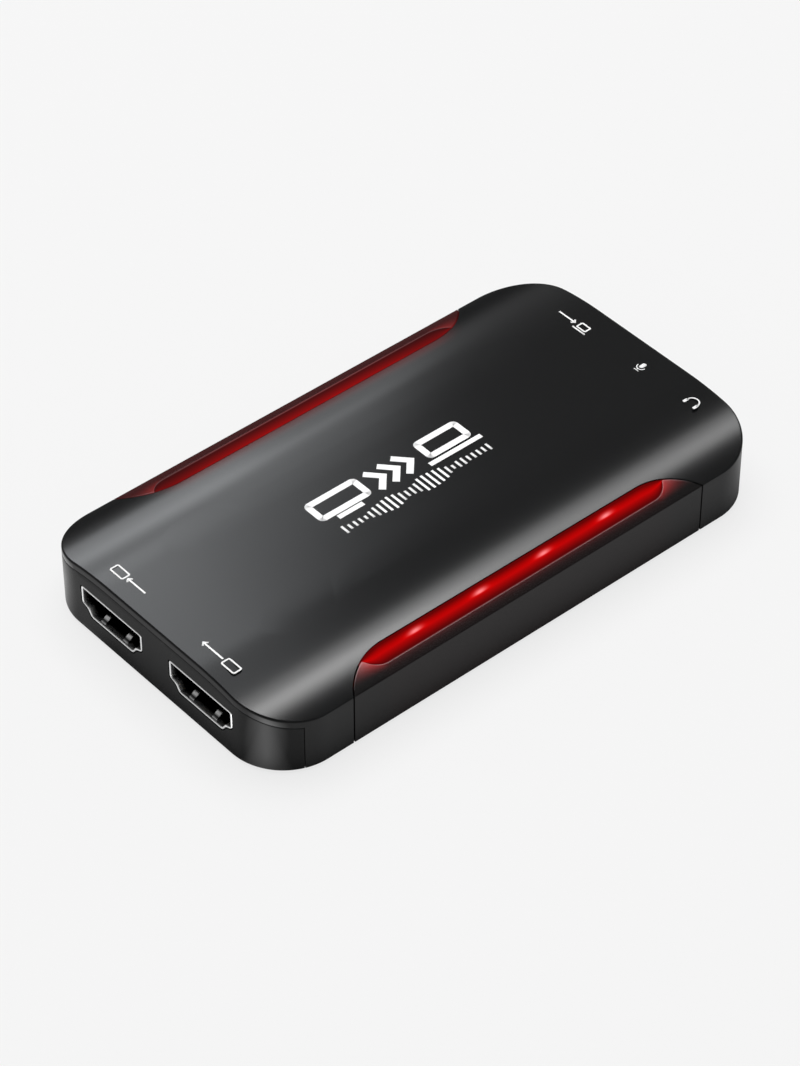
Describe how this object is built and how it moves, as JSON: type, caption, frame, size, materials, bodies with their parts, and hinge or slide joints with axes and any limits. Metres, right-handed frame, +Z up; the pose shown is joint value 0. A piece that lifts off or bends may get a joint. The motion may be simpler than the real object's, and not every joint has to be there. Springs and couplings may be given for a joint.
{
  "type": "video capture box",
  "caption": "Slim dark box with rolled long edges and red-lit side panels; takes video in, loops it out and sends it to a computer, with sound jacks.",
  "frame": {"origin": "centre of the footprint, on the surface the feet stand on", "axes": "+X from the video sockets to the data socket and sound jacks, +Z up, +Y to the left when looking along +X"},
  "size_m": [0.1004, 0.0572, 0.0132],
  "materials": {
    "case_plastic": "dark grey satin plastic, very fine grain",
    "panel_plastic": "black satin plastic",
    "smoked_plastic": "smoked dark plastic, polished",
    "red_guide": "clear red plastic, lit from behind",
    "board_laminate": "green solder mask",
    "red_diode": "moulded lens, lit red",
    "black_plastic": "black moulded insulator",
    "socket_metal": "nickel-plated sheet",
    "blue_plastic": "blue moulded insulator",
    "contact_metal": "gold-plated contacts",
    "chip_mould": "black moulding compound",
    "thermal_rubber": "soft grey pad",
    "bare_aluminium": "plain extruded",
    "can_steel": "plated steel",
    "ferrite": "sintered ferrite",
    "capacitor_body": "fired ceramic",
    "foot_rubber": "matt black rubber"
  },
  "bodies": {
    "root": {"top_shell": "case_plastic", "bottom_cover": "case_plastic", "video_end_panel": "panel_plastic", "data_end_panel": "panel_plastic", "near_side_panel": "smoked_plastic", "far_side_panel": "smoked_plastic", "near_light_guide": "red_guide", "far_light_guide": "red_guide", "near_light_board": "board_laminate", "far_light_board": "board_laminate", "main_board": "board_laminate", "near_light_diodes": "red_diode", "far_light_diodes": "red_diode", "near_light_header": "black_plastic", "far_light_header": "black_plastic", "video_in_insulator": "black_plastic", "video_out_insulator": "black_plastic", "mic_jack_housing": "black_plastic", "headphone_jack_housing": "black_plastic", "video_in_shell": "socket_metal", "video_out_shell": "socket_metal", "data_shell": "socket_metal", "data_insulator": "blue_plastic", "video_in_contacts": "contact_metal", "video_out_contacts": "contact_metal", "data_contacts": "contact_metal", "mic_jack_springs": "contact_metal", "headphone_jack_springs": "contact_metal", "receiver_chip": "chip_mould", "splitter_chip": "chip_mould", "bridge_chip": "chip_mould", "memory_chip": "chip_mould", "flash_chip": "chip_mould", "sound_chip": "chip_mould", "power_regulators": "chip_mould", "chip_resistors": "chip_mould", "thermal_pad": "thermal_rubber", "heat_sink": "bare_aluminium", "bulk_capacitors": "bare_aluminium", "clock_crystals": "can_steel", "case_screws": "can_steel", "power_coils": "ferrite", "chip_capacitors": "capacitor_body", "rubber_feet": "foot_rubber"}
  },
  "joints": []
}
